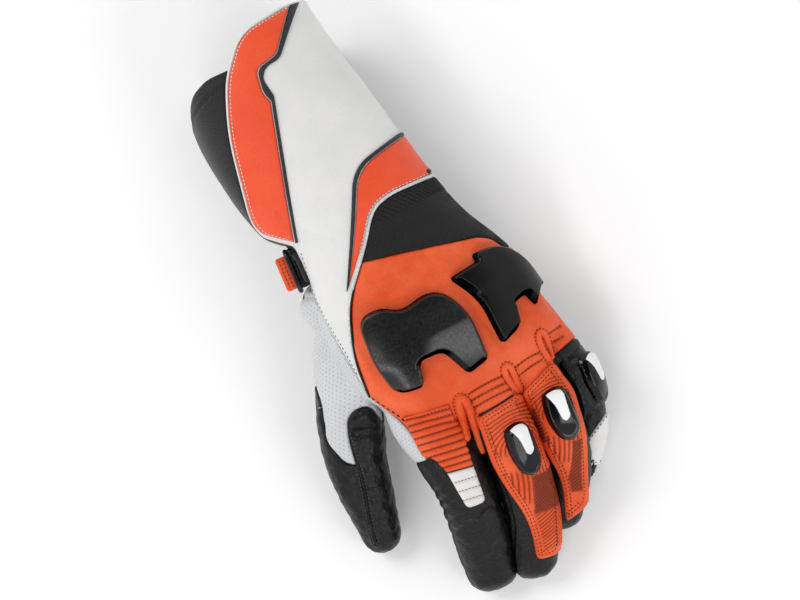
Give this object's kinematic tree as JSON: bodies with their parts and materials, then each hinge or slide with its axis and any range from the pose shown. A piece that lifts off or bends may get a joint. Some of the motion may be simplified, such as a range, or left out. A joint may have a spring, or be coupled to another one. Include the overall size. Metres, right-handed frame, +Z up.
{
  "type": "leather motorcycle glove",
  "caption": "Left-hand leather race glove with a long gauntlet, moulded knuckle guards, finger sliders, ribbed finger covers and a knit wrist.",
  "frame": {"origin": "on the surface that the glove rests on, under the middle of its box", "axes": "+Y towards the gauntlet's mouth, -Y towards the fingertips, -X towards the thumb, +Z up out of the back of the hand"},
  "size_m": [0.1476, 0.314, 0.0858],
  "materials": {
    "orange_leather": "full-grain leather, satin, with stitched rows",
    "white_leather": "full-grain leather, satin, part of it perforated",
    "black_leather": "full-grain leather, satin",
    "dark_piping": "smooth flat piping",
    "knit": "ribbed stretch knit, matt",
    "textile": "plain woven textile, matt",
    "guard": "moulded, glossy black",
    "inlay": "smooth white"
  },
  "bodies": {
    "root": {"hand_back": "orange_leather", "gauntlet_thumb_panel": "orange_leather", "gauntlet_wrist_panel": "orange_leather", "middle_cover": "orange_leather", "ring_cover": "orange_leather", "index_stretch": "orange_leather", "stretch_loop_index": "orange_leather", "stretch_loop_middle": "orange_leather", "stretch_loop_ring": "orange_leather", "strap_tab": "orange_leather", "gauntlet_back": "white_leather", "thumb_gusset": "white_leather", "index_stretch_tip": "white_leather", "little_patch": "white_leather", "palm": "black_leather", "index_stall": "black_leather", "middle_stall": "black_leather", "ring_stall": "black_leather", "little_stall": "black_leather", "thumb_stall": "black_leather", "gauntlet_thumb_band": "dark_piping", "gauntlet_wrist_band": "dark_piping", "wrist_knit": "knit", "gauntlet_palm": "textile", "wrist_strap": "textile", "knuckle_guard_index": "guard", "knuckle_guard_little": "guard", "middle_slider": "guard", "ring_slider": "guard", "little_slider": "guard", "strap_clip": "guard", "middle_slider_inlay": "inlay", "ring_slider_inlay": "inlay", "little_slider_inlay": "inlay"}
  },
  "joints": []
}
